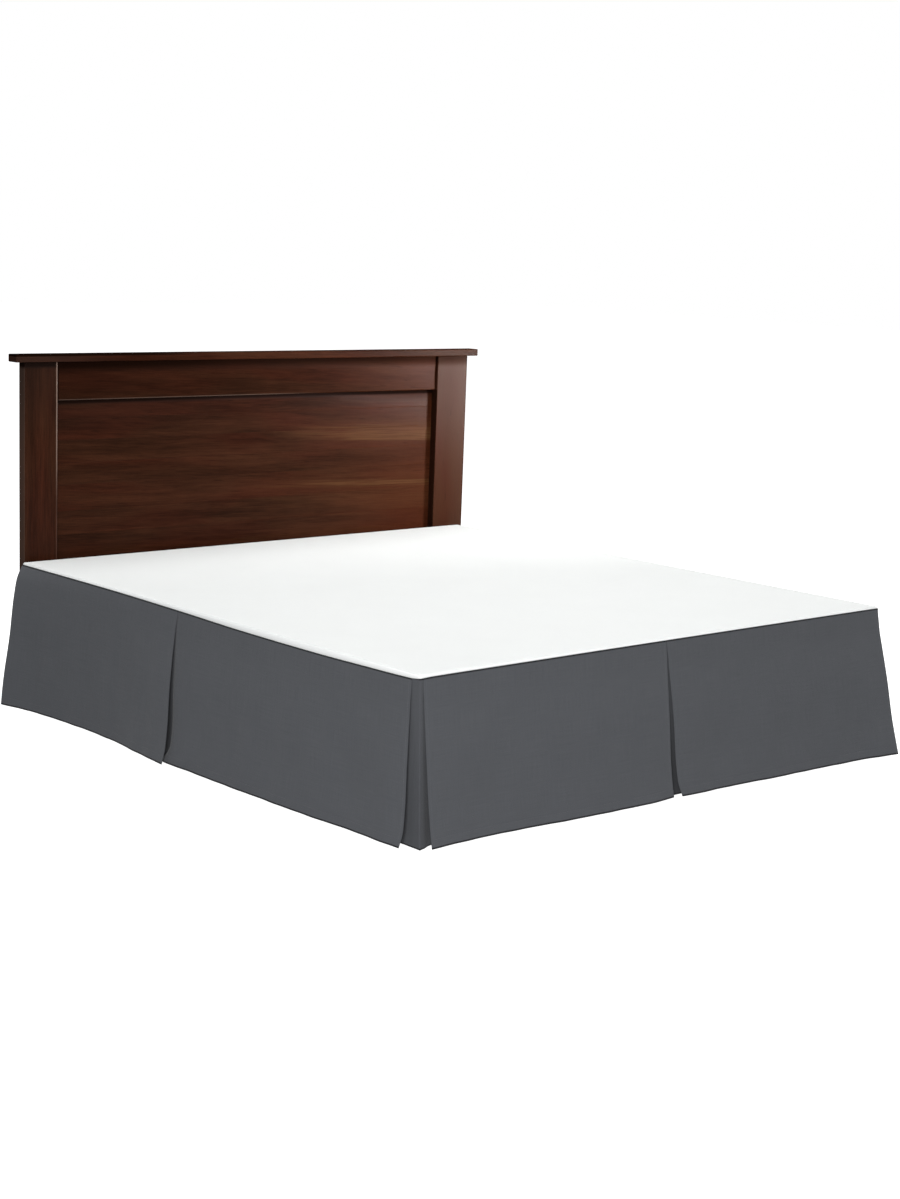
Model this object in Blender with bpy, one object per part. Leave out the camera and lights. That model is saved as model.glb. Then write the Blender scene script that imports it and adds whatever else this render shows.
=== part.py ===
"""A tailored king-size bed skirt on a plain bed base with a panelled headboard.

Metres, +Z up. X = 0 is the middle of the mattress base, its foot is towards -Y and the headboard
towards +Y, with Y = 0 halfway between the foot's hem and the headboard's back. Everything that
touches the floor stands on Z = 0.
"""

import math
from bisect import bisect_right

import bmesh
import bpy
from mathutils import Matrix, Vector

# Driving sizes of the bed base: a king mattress is 76 by 80 inches, and the skirt drops 18 inches.
BED_WIDTH = 1.930
BED_LENGTH = 2.032
DECK_TOP = 0.462
FOOT_Y = -0.991        # foot edge of the base
HEAD_Y = FOOT_Y + BED_LENGTH

# Clearances
GAP = 0.0003   # between pieces that touch

# Cloth
CLOTH = 0.002          # deck and skirt cloth
DECK_BEND = 0.005      # radius where the deck rolls over the edge of the box spring
DECK_FOOT_RADIUS = 0.008
DECK_HEAD_RADIUS = 0.012
INSERT_REACH = 0.120   # how far a corner underlay runs along each side
INSERT_HALF_WIDTH = 0.090

# Box spring and steel frame
BOX_HEIGHT = 0.230
BOX_HALF_WIDTH = 0.957
BOX_END_INSET = 0.008
BOX_CORNER_RADIUS = 0.030
BOX_EDGE = 0.008
RAIL_X = 0.915         # centre line of a side rail
RAIL_WIDTH = 0.025
RAIL_HEIGHT = 0.050
RAIL_FOOT_INSET = 0.031
SLAT_WIDTH = 0.040
SLAT_HEIGHT = 0.025
SLAT_PLACES = (0.24, 0.80, 1.36, 1.92)   # from the foot edge
LEG_WIDTH = 0.032
SIDE_LEG_PLACES = (0.18, 1.86)           # from the foot edge
GLIDE_RADIUS = 0.027
GLIDE_HEIGHT = 0.012
BRACKET_THICK = 0.004
BRACKET_WIDTH = 0.070
BRACKET_LOW_Z = 0.110
BRACKET_HIGH_Z = 0.290

# Headboard: it stands 48 mm to the right of the bed's centre line
HEAD_CENTRE_X = 0.048
HEAD_HALF_WIDTH = 0.978
HEAD_FACE_Y = HEAD_Y + 0.045   # front of the stiles
LEFT_STILE_WIDTH = 0.127
RIGHT_STILE_WIDTH = 0.153
STILE_THICK = 0.036
STILE_TOP = 1.119
CAP_THICK = 0.026
CAP_SIDE_OVERHANG = 0.039
CAP_FRONT_OVERHANG = 0.016
RAIL_SET_BACK = 0.009
BOARD_THICK = 0.018
TOP_RAIL_LOW_Z = 0.989
LOW_RAIL_LOW_Z = 0.300
LOW_RAIL_HIGH_Z = 0.400
PANEL_THICK = 0.008
WOOD_EDGE = 0.003

# The three sides that the skirt hangs on: foot corner, direction along the side, direction outwards
SIDES = {
    "left": ((-BED_WIDTH / 2, FOOT_Y), (0, 1), (-1, 0)),
    "foot": ((-BED_WIDTH / 2, FOOT_Y), (1, 0), (0, -1)),
    "right": ((BED_WIDTH / 2, FOOT_Y), (0, 1), (1, 0)),
}

# How far the seam between deck and skirt sags below the deck's top: (place along the side, depth)
SEAM = {
    "left": [(0.0, 0.0105), (0.04, 0.0145), (0.25, 0.018), (0.45, 0.020), (0.80, 0.018), (1.10, 0.012),
             (1.50, 0.007), (2.032, 0.006)],
    "foot": [(0.0, 0.0105), (0.05, 0.0088), (0.30, 0.008), (0.70, 0.007), (1.30, 0.006), (1.930, 0.006)],
    "right": [(0.0, 0.006), (0.40, 0.012), (0.80, 0.015), (1.30, 0.012), (1.70, 0.008), (2.032, 0.007)],
}

# Share of the hem's flare that the cloth has reached: (share of the drop, in general, at the head end)
FLARE = [
    (0.00, 0.00, 0.00),
    (0.08, 0.06, 0.22),
    (0.17, 0.13, 0.345),
    (0.30, 0.27, 0.475),
    (0.50, 0.48, 0.63),
    (0.75, 0.71, 0.84),
    (0.90, 0.88, 0.94),
    (1.00, 1.00, 1.00),
]

# Each panel's ends as places at these shares of the drop: at the seam, just below it, halfway, above
# the hem and at the hem; and its hem rows as (share of the panel's length, outwards, height above the floor)
END_SHARES = (0.0, 0.15, 0.5, 0.9, 1.0)
PANELS = [
    {
        "name": "panel_left_foot", "side": "left", "head_end": False,
        "start": (0.033, 0.0295, 0.0145, -0.001, 0.0075), "end": (1.108, 1.109, 1.090, 1.068, 1.099),
        "hem": [(0.00, 0.046, 0.0045), (0.07, 0.055, 0.0060), (0.15, 0.053, 0.0055), (0.30, 0.061, 0.0055),
                (0.46, 0.069, 0.0055), (0.64, 0.0715, 0.0055), (0.82, 0.074, 0.0055), (0.92, 0.076, 0.0055),
                (0.98, 0.071, 0.0050), (1.00, 0.058, 0.0050)],
    },
    {
        "name": "panel_left_head", "side": "left", "head_end": True,
        "start": (1.110, 1.110, 1.083, 1.047, 1.047), "end": (2.027, 2.016, 1.997, 1.988, 1.984),
        "hem": [(0.00, 0.0955, 0.0055), (0.08, 0.091, 0.0060), (0.17, 0.080, 0.0055), (0.30, 0.067, 0.0065),
                (0.43, 0.063, 0.0065), (0.56, 0.062, 0.0065), (0.68, 0.067, 0.0065), (0.80, 0.075, 0.0055),
                (0.91, 0.089, 0.0045), (1.00, 0.105, 0.0035)],
    },
    {
        "name": "panel_foot_left", "side": "foot", "head_end": False,
        "start": (0.013, 0.013, 0.0135, 0.017, 0.020), "end": (0.934, 0.9345, 0.929, 0.924, 0.926),
        "hem": [(0.00, 0.050, 0.0035), (0.12, 0.048, 0.0055), (0.28, 0.050, 0.0050), (0.44, 0.057, 0.0050),
                (0.59, 0.068, 0.0050), (0.76, 0.075, 0.0050), (0.94, 0.075, 0.0050), (1.00, 0.0715, 0.0060)],
    },
    {
        "name": "panel_foot_right", "side": "foot", "head_end": False,
        "start": (0.9355, 0.940, 0.9430, 0.942, 0.956), "end": (1.9277, 1.9275, 1.927, 1.9245, 1.924),
        "hem": [(0.00, 0.0775, 0.0060), (0.08, 0.082, 0.0055), (0.27, 0.083, 0.0050), (0.45, 0.092, 0.0040),
                (0.64, 0.096, 0.0040), (0.82, 0.107, 0.0050), (0.92, 0.118, 0.0045), (1.00, 0.125, 0.0035)],
    },
    {
        "name": "panel_right_foot", "side": "right", "head_end": False,
        "start": (0.000, 0.005, 0.010, 0.006, 0.004), "end": (1.0145, 1.0135, 1.010, 1.001, 0.998),
        "hem": [(0.00, 0.045, 0.0035), (0.15, 0.052, 0.0055), (0.35, 0.062, 0.0055), (0.55, 0.068, 0.0055),
                (0.80, 0.074, 0.0055), (1.00, 0.080, 0.0045)],
    },
    {
        "name": "panel_right_head", "side": "right", "head_end": True,
        "start": (1.0155, 1.017, 1.020, 1.028, 1.030), "end": (2.027, 2.015, 1.996, 1.9895, 1.988),
        "hem": [(0.00, 0.086, 0.0035), (0.12, 0.076, 0.0055), (0.35, 0.064, 0.0065), (0.60, 0.061, 0.0065),
                (0.85, 0.070, 0.0055), (1.00, 0.080, 0.0045)],
    },
]

# The underlays of the middle pleats: side, place of the pleat at the seam and at the hem, flare, hem height
INSERTS = [
    ("insert_left", "left", 1.109, 1.066, 0.042, 0.0030),
    ("insert_foot", "foot", 0.935, 0.935, 0.055, 0.0055),
    ("insert_right", "right", 1.015, 1.014, 0.045, 0.0065),
]

# The folded underlays at the foot's corners, as hem flare of the long side's wing end, the fold
# (across the bed, along the bed) and the foot's wing end
CORNER_INSERTS = [
    ("insert_corner_left", "left", 0.012, (0.0135, 0.0386), 0.012),
    ("insert_corner_right", "right", 0.014, (0.018, 0.042), 0.016),
]
CORNER_INSERT_HEM_Z = 0.003
WING_DIP = (0.32, 0.0195)   # share of the foot's wing where it dips back, and its flare there

PANEL_COLUMNS = 14
INSERT_COLUMNS = 4


def material(name, color, roughness, metallic=0.0):
    """Makes one plain Principled material."""
    mat = bpy.data.materials.new(name)
    mat.use_nodes = True
    shader = mat.node_tree.nodes["Principled BSDF"]
    shader.inputs["Base Color"].default_value = (*color, 1.0)
    shader.inputs["Roughness"].default_value = roughness
    shader.inputs["Metallic"].default_value = metallic
    mat.diffuse_color = (*color, 1.0)
    return mat


def add_mesh(name, points, faces, mat):
    """Makes one object from points and faces, with its faces turned outwards."""
    mesh = bpy.data.meshes.new(name)
    mesh.from_pydata(points, [], faces)
    bm = bmesh.new()
    bm.from_mesh(mesh)
    bmesh.ops.recalc_face_normals(bm, faces=bm.faces)
    bm.to_mesh(mesh)
    bm.free()
    mesh.materials.append(mat)
    obj = bpy.data.objects.new(name, mesh)
    bpy.context.collection.objects.link(obj)
    return obj


def curve(rows, place, column=1):
    """Reads a smooth curve through rows of (place, value, ...) at one place."""
    places = [row[0] for row in rows]
    values = [row[column] for row in rows]
    last = len(rows) - 1
    i = min(max(bisect_right(places, place) - 1, 0), last - 1)

    def slope(k):
        low = max(k - 1, 0)
        high = min(k + 1, last)
        return (values[high] - values[low]) / (places[high] - places[low])

    span = places[i + 1] - places[i]
    t = min(max((place - places[i]) / span, 0.0), 1.0)
    return (
        values[i] * (1 + 2 * t) * (1 - t) ** 2
        + values[i + 1] * (3 - 2 * t) * t**2
        + slope(i) * span * t * (1 - t) ** 2
        - slope(i + 1) * span * (1 - t) * t**2
    )


def on_side(side, place, outwards, height):
    """Turns a place along one side of the bed, a distance outwards and a height into a point."""
    corner, along, out = SIDES[side]
    return Vector((
        corner[0] + along[0] * place + out[0] * outwards,
        corner[1] + along[1] * place + out[1] * outwards,
        height,
    ))


def sheet_solid(name, outer, inner, mat):
    """Closes two grids of points, the outer and the inner face of a cloth, into one solid."""
    rows = len(outer)
    columns = len(outer[0])
    points = [p for grid in (outer, inner) for row in grid for p in row]
    back = rows * columns

    def at(row, column, side=0):
        return side * back + row * columns + column

    faces = []
    for r in range(rows - 1):
        for c in range(columns - 1):
            for side in (0, 1):
                faces.append((
                    at(r, c, side), at(r, c + 1, side), at(r + 1, c + 1, side), at(r + 1, c, side),
                ))
    for c in range(columns - 1):
        for r in (0, rows - 1):
            faces.append((at(r, c), at(r, c + 1), at(r, c + 1, 1), at(r, c, 1)))
    for r in range(rows - 1):
        for c in (0, columns - 1):
            faces.append((at(r, c), at(r + 1, c), at(r + 1, c, 1), at(r, c, 1)))
    return add_mesh(name, points, faces, mat)


def seam_height(side, place):
    """Height of the seam between the deck and the skirt."""
    return DECK_TOP - curve(SEAM[side], place)


def panel(row, mat):
    """One face panel: flat along the seam, kicking out to its hem, open at both ends."""
    side = row["side"]
    ends = [[(share, value) for share, value in zip(END_SHARES, row[end])] for end in ("start", "end")]
    outer = []
    inner = []
    for drop, share_out, head_share_out in FLARE:
        start = curve(ends[0], drop)
        end = curve(ends[1], drop)
        outer_row = []
        inner_row = []
        for c in range(PANEL_COLUMNS + 1):
            share = c / PANEL_COLUMNS
            top_place = row["start"][0] + (row["end"][0] - row["start"][0]) * share
            top = seam_height(side, top_place) - GAP
            height = top + (curve(row["hem"], share, 2) - top) * drop
            reached = share_out
            if row["head_end"]:
                reached += (head_share_out - share_out) * share
            outwards = curve(row["hem"], share) * reached
            place = start + (end - start) * share
            outer_row.append(on_side(side, place, outwards, height))
            inner_row.append(on_side(side, place, outwards - CLOTH, height))
        outer.append(outer_row)
        inner.append(inner_row)
    return sheet_solid(row["name"], outer, inner, mat)


def middle_insert(name, side, seam_place, hem_place, flare, hem_height, mat):
    """The flat underlay behind one middle pleat."""
    outer = []
    inner = []
    for drop, share_out, _ in FLARE:
        middle = seam_place + (hem_place - seam_place) * drop
        outwards = flare * share_out - CLOTH - GAP
        outer_row = []
        inner_row = []
        for c in range(INSERT_COLUMNS + 1):
            place = middle + INSERT_HALF_WIDTH * (2 * c / INSERT_COLUMNS - 1)
            top = seam_height(side, seam_place + place - middle) - GAP
            height = top + (hem_height - top) * drop
            outer_row.append(on_side(side, place, outwards, height))
            inner_row.append(on_side(side, place, outwards - CLOTH, height))
        outer.append(outer_row)
        inner.append(inner_row)
    return sheet_solid(name, outer, inner, mat)


def corner_insert(name, side, wing_flare, fold_flare, foot_flare, mat):
    """The underlay folded round one corner of the foot, set back behind the panels."""
    corner, _, out = SIDES[side]
    top = seam_height(side, 0.0) - GAP
    wing = [1.0, 0.5, 0.12]
    foot_wing = [0.12, WING_DIP[0], 0.66, 1.0]
    foot_rows = [(0.0, fold_flare[1]), WING_DIP, (1.0, foot_flare)]
    outer = []
    inner = []
    for drop, share_out, _ in FLARE:
        height = top + (CORNER_INSERT_HEM_Z - top) * drop
        outer_row = []
        inner_row = []

        def add(across, along, inset_across, inset_along):
            """Adds a point given outwards across and along the bed, and its inner face."""
            for row, inset in ((outer_row, 0.0), (inner_row, CLOTH)):
                row.append(Vector((
                    corner[0] + out[0] * (across - inset * inset_across),
                    corner[1] - (along - inset * inset_along),
                    height,
                )))

        for share in wing:
            flare = fold_flare[0] + (wing_flare - fold_flare[0]) * share
            add(flare * share_out - CLOTH - GAP, -INSERT_REACH * share, 1, 0)
        add(fold_flare[0] * share_out - CLOTH - GAP, fold_flare[1] * share_out - CLOTH - GAP, 1, 1)
        for share in foot_wing:
            add(-INSERT_REACH * share, curve(foot_rows, share) * share_out - CLOTH - GAP, 0, 1)
        outer.append(outer_row)
        inner.append(inner_row)
    return sheet_solid(name, outer, inner, mat)


def deck_outline():
    """Points round the deck as (place in plan, outward direction, seam depth), anticlockwise from above."""
    half = BED_WIDTH / 2
    outline = []

    def run(side, places):
        for place in places:
            point = on_side(side, place, 0.0, 0.0)
            outline.append((point, Vector((*SIDES[side][2], 0.0)), curve(SEAM[side], place)))

    def corner(x, y, radius, first_angle, depth, steps):
        inwards = radius if y == FOOT_Y else -radius
        centre = Vector((x - math.copysign(radius, x), y + inwards, 0.0))
        for k in range(steps + 1):
            angle = first_angle + math.pi / 2 * k / steps
            normal = Vector((math.cos(angle), math.sin(angle), 0.0))
            outline.append((centre + radius * normal, normal, depth))

    def columns(side, high):
        """The places of the panels' columns along one side, between the deck's round corners."""
        places = []
        for row in PANELS:
            if row["side"] == side:
                start, end = row["start"][0], row["end"][0]
                places += [start + (end - start) * c / PANEL_COLUMNS for c in range(PANEL_COLUMNS + 1)]
        apart = [b for a, b in zip([0.0] + places, places) if b - a > 0.004]
        return [place for place in apart if DECK_FOOT_RADIUS + 0.004 < place < high - 0.004]

    corner(-half, FOOT_Y, DECK_FOOT_RADIUS, math.pi, SEAM["foot"][0][1], 2)
    run("foot", columns("foot", BED_WIDTH - DECK_FOOT_RADIUS))
    corner(half, FOOT_Y, DECK_FOOT_RADIUS, -math.pi / 2, SEAM["right"][0][1], 2)
    run("right", columns("right", BED_LENGTH - DECK_HEAD_RADIUS))
    corner(half, HEAD_Y, DECK_HEAD_RADIUS, 0.0, SEAM["right"][-1][1], 3)
    corner(-half, HEAD_Y, DECK_HEAD_RADIUS, math.pi / 2, SEAM["left"][-1][1], 3)
    run("left", reversed(columns("left", BED_LENGTH - DECK_HEAD_RADIUS)))
    return outline


def deck(mat):
    """The platform sheet: flat on the box spring, rolled over its edge and down to the seam."""
    outline = deck_outline()
    count = len(outline)
    bend_steps = 3
    rings = []
    for radius, inset in ((DECK_BEND, 0.0), (DECK_BEND - CLOTH, CLOTH)):
        side_rings = []
        for k in range(bend_steps + 1):
            angle = math.pi / 2 * k / bend_steps
            inwards = inset + radius * (1 - math.sin(angle))
            height = DECK_TOP - inset - radius * (1 - math.cos(angle))
            side_rings.append([p - n * inwards + Vector((0, 0, height)) for p, n, _ in outline])
        side_rings.append([p - n * inset + Vector((0, 0, DECK_TOP - depth)) for p, n, depth in outline])
        rings.append(side_rings)
    outer, inner = rings
    stack = outer + inner[::-1]
    points = [p for ring in stack for p in ring]
    faces = [tuple(range(count)), tuple(range((len(stack) - 1) * count, len(stack) * count))]
    for r in range(len(stack) - 1):
        for c in range(count):
            d = (c + 1) % count
            faces.append((r * count + c, r * count + d, (r + 1) * count + d, (r + 1) * count + c))
    return add_mesh("deck", points, faces, mat)


def box(name, low, high, mat, edge=0.0, segments=2):
    """A block between two corners, with its edges rounded."""
    low = Vector(low)
    high = Vector(high)
    mesh = bpy.data.meshes.new(name)
    bm = bmesh.new()
    bmesh.ops.create_cube(bm, size=1.0)
    bmesh.ops.scale(bm, vec=high - low, verts=bm.verts)
    if edge:
        bmesh.ops.bevel(bm, geom=bm.edges, offset=edge, segments=segments, affect="EDGES", profile=0.5)
    bm.to_mesh(mesh)
    bm.free()
    mesh.materials.append(mat)
    obj = bpy.data.objects.new(name, mesh)
    obj.location = (low + high) / 2
    bpy.context.collection.objects.link(obj)
    return obj


def box_spring(mat):
    """The upholstered base: a block with round corners and soft top and bottom edges."""
    top = DECK_TOP - CLOTH - GAP
    size = Vector((2 * BOX_HALF_WIDTH, BED_LENGTH - 2 * BOX_END_INSET, BOX_HEIGHT))
    mesh = bpy.data.meshes.new("box_spring")
    bm = bmesh.new()
    bmesh.ops.create_cube(bm, size=1.0)
    bmesh.ops.scale(bm, vec=size, verts=bm.verts)
    upright = [e for e in bm.edges if abs(e.verts[0].co.z - e.verts[1].co.z) > BOX_HEIGHT / 2]
    bmesh.ops.bevel(bm, geom=upright, offset=BOX_CORNER_RADIUS, segments=4, affect="EDGES", profile=0.5)
    rims = [e for e in bm.edges if abs(e.verts[0].co.z - e.verts[1].co.z) < BOX_HEIGHT / 2]
    bmesh.ops.bevel(bm, geom=rims, offset=BOX_EDGE, segments=2, affect="EDGES", profile=0.5)
    bm.to_mesh(mesh)
    bm.free()
    mesh.materials.append(mat)
    obj = bpy.data.objects.new("box_spring", mesh)
    obj.location = (0.0, (FOOT_Y + HEAD_Y) / 2, top - BOX_HEIGHT / 2)
    bpy.context.collection.objects.link(obj)
    return obj


def glide(name, x, y, mat):
    """A round plastic foot under one leg."""
    mesh = bpy.data.meshes.new(name)
    bm = bmesh.new()
    bmesh.ops.create_cone(
        bm, cap_ends=True, segments=16, radius1=GLIDE_RADIUS, radius2=GLIDE_RADIUS * 0.8, depth=GLIDE_HEIGHT,
        matrix=Matrix.Translation((0, 0, GLIDE_HEIGHT / 2)),
    )
    bm.to_mesh(mesh)
    bm.free()
    mesh.materials.append(mat)
    obj = bpy.data.objects.new(name, mesh)
    obj.location = (x, y, 0.0)
    bpy.context.collection.objects.link(obj)
    return obj


def steel_frame(steel, plastic):
    """Side rails, cross slats, legs on glides, and the plates that the headboard is bolted to."""
    top = DECK_TOP - CLOTH - BOX_HEIGHT - 2 * GAP
    head_end = HEAD_FACE_Y - 2 * GAP - BRACKET_THICK
    for side, sign in (("left", -1), ("right", 1)):
        x = sign * RAIL_X
        box(
            f"side_rail_{side}",
            (x - RAIL_WIDTH / 2, FOOT_Y + RAIL_FOOT_INSET, top - RAIL_HEIGHT),
            (x + RAIL_WIDTH / 2, head_end, top),
            steel, 0.003, 1,
        )
        box(
            f"bracket_{side}",
            (x - BRACKET_WIDTH / 2, head_end + GAP, BRACKET_LOW_Z),
            (x + BRACKET_WIDTH / 2, HEAD_FACE_Y - GAP, BRACKET_HIGH_Z),
            steel, 0.0012, 1,
        )
        for k, place in enumerate(SIDE_LEG_PLACES):
            leg(f"{side}_{k + 1}", x, FOOT_Y + place, top - RAIL_HEIGHT - GAP, steel, plastic)
    slat_end = RAIL_X - RAIL_WIDTH / 2 - GAP
    for k, place in enumerate(SLAT_PLACES):
        y = FOOT_Y + place
        box(
            f"slat_{k + 1}",
            (-slat_end, y - SLAT_WIDTH / 2, top - SLAT_HEIGHT),
            (slat_end, y + SLAT_WIDTH / 2, top),
            steel, 0.003, 1,
        )
        leg(f"middle_{k + 1}", 0.0, y, top - SLAT_HEIGHT - GAP, steel, plastic)


def leg(name, x, y, top, steel, plastic):
    """One square leg standing on its glide."""
    box(
        f"leg_{name}",
        (x - LEG_WIDTH / 2, y - LEG_WIDTH / 2, GLIDE_HEIGHT + GAP),
        (x + LEG_WIDTH / 2, y + LEG_WIDTH / 2, top),
        steel, 0.003, 1,
    )
    glide(f"glide_{name}", x, y, plastic)


def headboard(wood):
    """Two stiles standing on the floor, rails between them, a recessed panel behind and a cap on top."""
    left = HEAD_CENTRE_X - HEAD_HALF_WIDTH
    right = HEAD_CENTRE_X + HEAD_HALF_WIDTH
    back = HEAD_FACE_Y + STILE_THICK
    inner_left = left + LEFT_STILE_WIDTH
    inner_right = right - RIGHT_STILE_WIDTH
    between = (inner_left + GAP, inner_right - GAP)
    rail_front = HEAD_FACE_Y + RAIL_SET_BACK
    panel_front = rail_front + BOARD_THICK + GAP
    box("stile_left", (left, HEAD_FACE_Y, 0.0), (inner_left, back, STILE_TOP), wood, WOOD_EDGE)
    box("stile_right", (inner_right, HEAD_FACE_Y, 0.0), (right, back, STILE_TOP), wood, WOOD_EDGE)
    box(
        "rail_top", (between[0], rail_front, TOP_RAIL_LOW_Z),
        (between[1], rail_front + BOARD_THICK, STILE_TOP), wood, WOOD_EDGE,
    )
    box(
        "rail_low", (between[0], rail_front, LOW_RAIL_LOW_Z),
        (between[1], rail_front + BOARD_THICK, LOW_RAIL_HIGH_Z), wood, WOOD_EDGE,
    )
    box(
        "headboard_panel", (between[0], panel_front, LOW_RAIL_LOW_Z),
        (between[1], panel_front + PANEL_THICK, STILE_TOP), wood, 0.0015, 1,
    )
    box(
        "cap",
        (left - CAP_SIDE_OVERHANG, HEAD_FACE_Y - CAP_FRONT_OVERHANG, STILE_TOP + GAP),
        (right + CAP_SIDE_OVERHANG, back, STILE_TOP + GAP + CAP_THICK),
        wood, WOOD_EDGE,
    )


for old in list(bpy.data.objects):
    bpy.data.objects.remove(old, do_unlink=True)

GREY_CLOTH = material("skirt_cloth", (0.085, 0.092, 0.100), 0.90)
WHITE_CLOTH = material("deck_cloth", (0.88, 0.89, 0.88), 0.90)
TICKING = material("box_cover", (0.62, 0.60, 0.56), 0.90)
WOOD = material("wood", (0.080, 0.030, 0.018), 0.38)
STEEL = material("steel", (0.045, 0.045, 0.048), 0.50, 0.6)
PLASTIC = material("plastic", (0.03, 0.03, 0.03), 0.55)

deck(WHITE_CLOTH)
for panel_row in PANELS:
    panel(panel_row, GREY_CLOTH)
for insert_row in INSERTS:
    middle_insert(*insert_row, GREY_CLOTH)
for corner_row in CORNER_INSERTS:
    corner_insert(*corner_row, GREY_CLOTH)
box_spring(TICKING)
steel_frame(STEEL, PLASTIC)
headboard(WOOD)
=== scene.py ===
import math
from bisect import bisect_right

import bmesh
import bpy
from mathutils import Matrix, Vector


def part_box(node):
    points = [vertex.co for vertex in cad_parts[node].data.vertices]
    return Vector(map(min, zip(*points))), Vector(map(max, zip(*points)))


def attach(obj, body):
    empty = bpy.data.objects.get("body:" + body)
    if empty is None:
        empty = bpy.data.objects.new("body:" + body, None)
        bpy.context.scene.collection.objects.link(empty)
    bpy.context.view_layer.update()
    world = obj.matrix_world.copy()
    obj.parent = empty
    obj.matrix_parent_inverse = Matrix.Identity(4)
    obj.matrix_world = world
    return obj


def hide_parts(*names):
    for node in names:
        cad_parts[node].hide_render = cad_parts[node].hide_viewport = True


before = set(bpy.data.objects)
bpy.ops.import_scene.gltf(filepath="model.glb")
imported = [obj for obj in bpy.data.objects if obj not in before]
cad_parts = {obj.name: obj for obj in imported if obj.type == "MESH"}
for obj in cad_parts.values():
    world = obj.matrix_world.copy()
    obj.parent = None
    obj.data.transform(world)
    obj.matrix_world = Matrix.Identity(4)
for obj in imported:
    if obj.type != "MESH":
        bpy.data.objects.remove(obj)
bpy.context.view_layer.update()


# ---------------------------------------------------------------- the studio
# A white studio: an endless pale floor, a wide soft light overhead, a large one at the front left
# that evens out the skirt, a faint one in front, one behind, and at the right a small one with a
# grid, which the lacquered headboard mirrors. It is aimed a little up, away from the deck.

scene = bpy.context.scene
scene.view_settings.view_transform = "Standard"
scene.view_settings.look = "None"

CAMERA_PLACE = (-4.3202, -4.8592, 1.5803)
CAMERA_TURN = math.radians(41.72)
CAMERA_DIP = math.radians(10.16)
CAMERA_ROLL = math.radians(2.126)

camera_data = bpy.data.cameras.new("camera")
camera_data.lens = 60.99
camera_data.sensor_width = 36.0
camera = bpy.data.objects.new("camera", camera_data)
camera.matrix_world = (
    Matrix.Translation(CAMERA_PLACE)
    @ Matrix.Rotation(-CAMERA_TURN, 4, "Z")
    @ Matrix.Rotation(math.pi / 2 - CAMERA_DIP, 4, "X")
    @ Matrix.Rotation(CAMERA_ROLL, 4, "Z")
)
scene.collection.objects.link(camera)
scene.camera = camera


class Term:
    """One value of a shader, which takes part in plain Python arithmetic."""

    def __init__(self, finish, socket):
        self.finish = finish
        self.socket = socket

    def math(self, operation, *others):
        values = dict(enumerate((self, *others)))
        return self.finish.node("ShaderNodeMath", {"operation": operation}, values)

    def __add__(self, other):
        return self.math("ADD", other)

    def __sub__(self, other):
        return self.math("SUBTRACT", other)

    def __mul__(self, other):
        return self.math("MULTIPLY", other)

    def __rsub__(self, other):
        return self * -1.0 + other

    __radd__ = __add__
    __rmul__ = __mul__

    def step(self, low, high):
        """Rises smoothly from 0 at low to 1 at high; high may be the smaller one."""
        if low > high:
            return 1.0 - self.step(high, low)
        return self.finish.node(
            "ShaderNodeMapRange", {"interpolation_type": "SMOOTHSTEP"},
            {"Value": self, "From Min": low, "From Max": high},
        )


class Finish:
    """A material with one Principled shader, and the means to build on it."""

    def __init__(self, name, sockets):
        self.material = bpy.data.materials.new(name)
        self.material.use_nodes = True
        self.tree = self.material.node_tree
        self.shader = self.tree.nodes["Principled BSDF"]
        for socket, value in sockets.items():
            self.shader.inputs[socket].default_value = value

    def node(self, kind, settings, values, output=0):
        """Adds a node: its settings first, then the values or links of its sockets."""
        made = self.tree.nodes.new(kind)
        for key, value in settings.items():
            setattr(made, key, value)
        for key, value in values.items():
            self.put(made.inputs[key], value)
        return Term(self, made.outputs[output])

    def put(self, socket, value):
        if isinstance(value, Term):
            self.tree.links.new(value.socket, socket)
        else:
            socket.default_value = value

    def feed(self, **terms):
        """Feeds sockets of the shader, named with _ for a space."""
        for key, term in terms.items():
            self.put(self.shader.inputs[key.replace("_", " ")], term)

    def place(self):
        return self.node("ShaderNodeTexCoord", {}, {}, "Object")

    def noise(self, vector, scale, detail=2.0, roughness=0.5):
        """Cloudy noise, with its own scale along each axis."""
        scaled = self.node("ShaderNodeVectorMath", {"operation": "MULTIPLY"}, {0: vector, 1: scale})
        values = {"Vector": scaled, "Scale": 1.0, "Detail": detail, "Roughness": roughness}
        return self.node("ShaderNodeTexNoise", {}, values)

    def mix(self, factor, a, b, blend="MIX"):
        """Mixes two colours."""
        settings = {"data_type": "RGBA", "blend_type": blend}
        return self.node("ShaderNodeMix", settings, {0: factor, 6: a, 7: b}, 2)

    def bump(self, height, distance, strength):
        values = {"Height": height, "Distance": distance, "Strength": strength}
        return self.node("ShaderNodeBump", {}, values)

    def separate(self, vector):
        parts = self.node("ShaderNodeSeparateXYZ", {}, {0: vector})
        return [Term(self, socket) for socket in parts.socket.node.outputs]


def softbox(name, place, target, size, watts, spread=180.0):
    """A square area light, aimed at a point; a grid in front of it narrows its spread."""
    data = bpy.data.lights.new(name, "AREA")
    data.shape = "SQUARE"
    data.size = size
    data.energy = watts
    data.spread = math.radians(spread)
    light = bpy.data.objects.new(name, data)
    light.location = place
    light.rotation_euler = (Vector(target) - Vector(place)).to_track_quat("-Z", "Y").to_euler()
    scene.collection.objects.link(light)


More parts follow.
